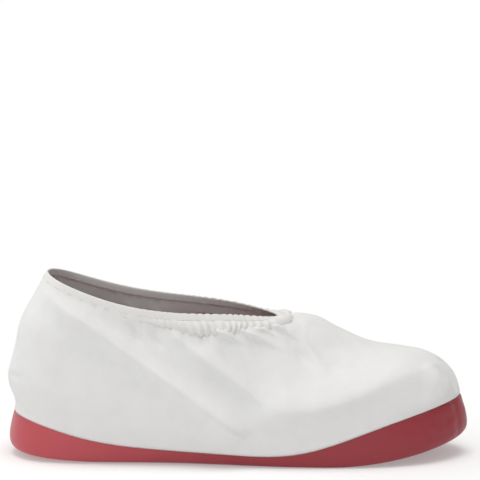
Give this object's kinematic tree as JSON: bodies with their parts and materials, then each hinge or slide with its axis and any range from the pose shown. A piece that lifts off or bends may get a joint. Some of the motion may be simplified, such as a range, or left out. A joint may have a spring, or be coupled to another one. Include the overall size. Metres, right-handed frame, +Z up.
{
  "type": "overshoe",
  "caption": "Reusable overshoe: a white fabric upper on a dished red rubber sole with a moulded tread, closed round the ankle by a gathered elastic hem.",
  "frame": {"origin": "on the floor, under the middle of the overshoe's length and width", "axes": "+X towards the toe, +Y towards the far side of the foot, +Z up out of the ankle opening"},
  "size_m": [0.3242, 0.1076, 0.1314],
  "materials": {
    "red_rubber": "satin",
    "white_fabric": "matt nonwoven",
    "hem_fabric": "matt nonwoven, gathered"
  },
  "bodies": {
    "root": {"sole": "red_rubber", "upper": "white_fabric", "elastic_hem": "hem_fabric"}
  },
  "joints": []
}
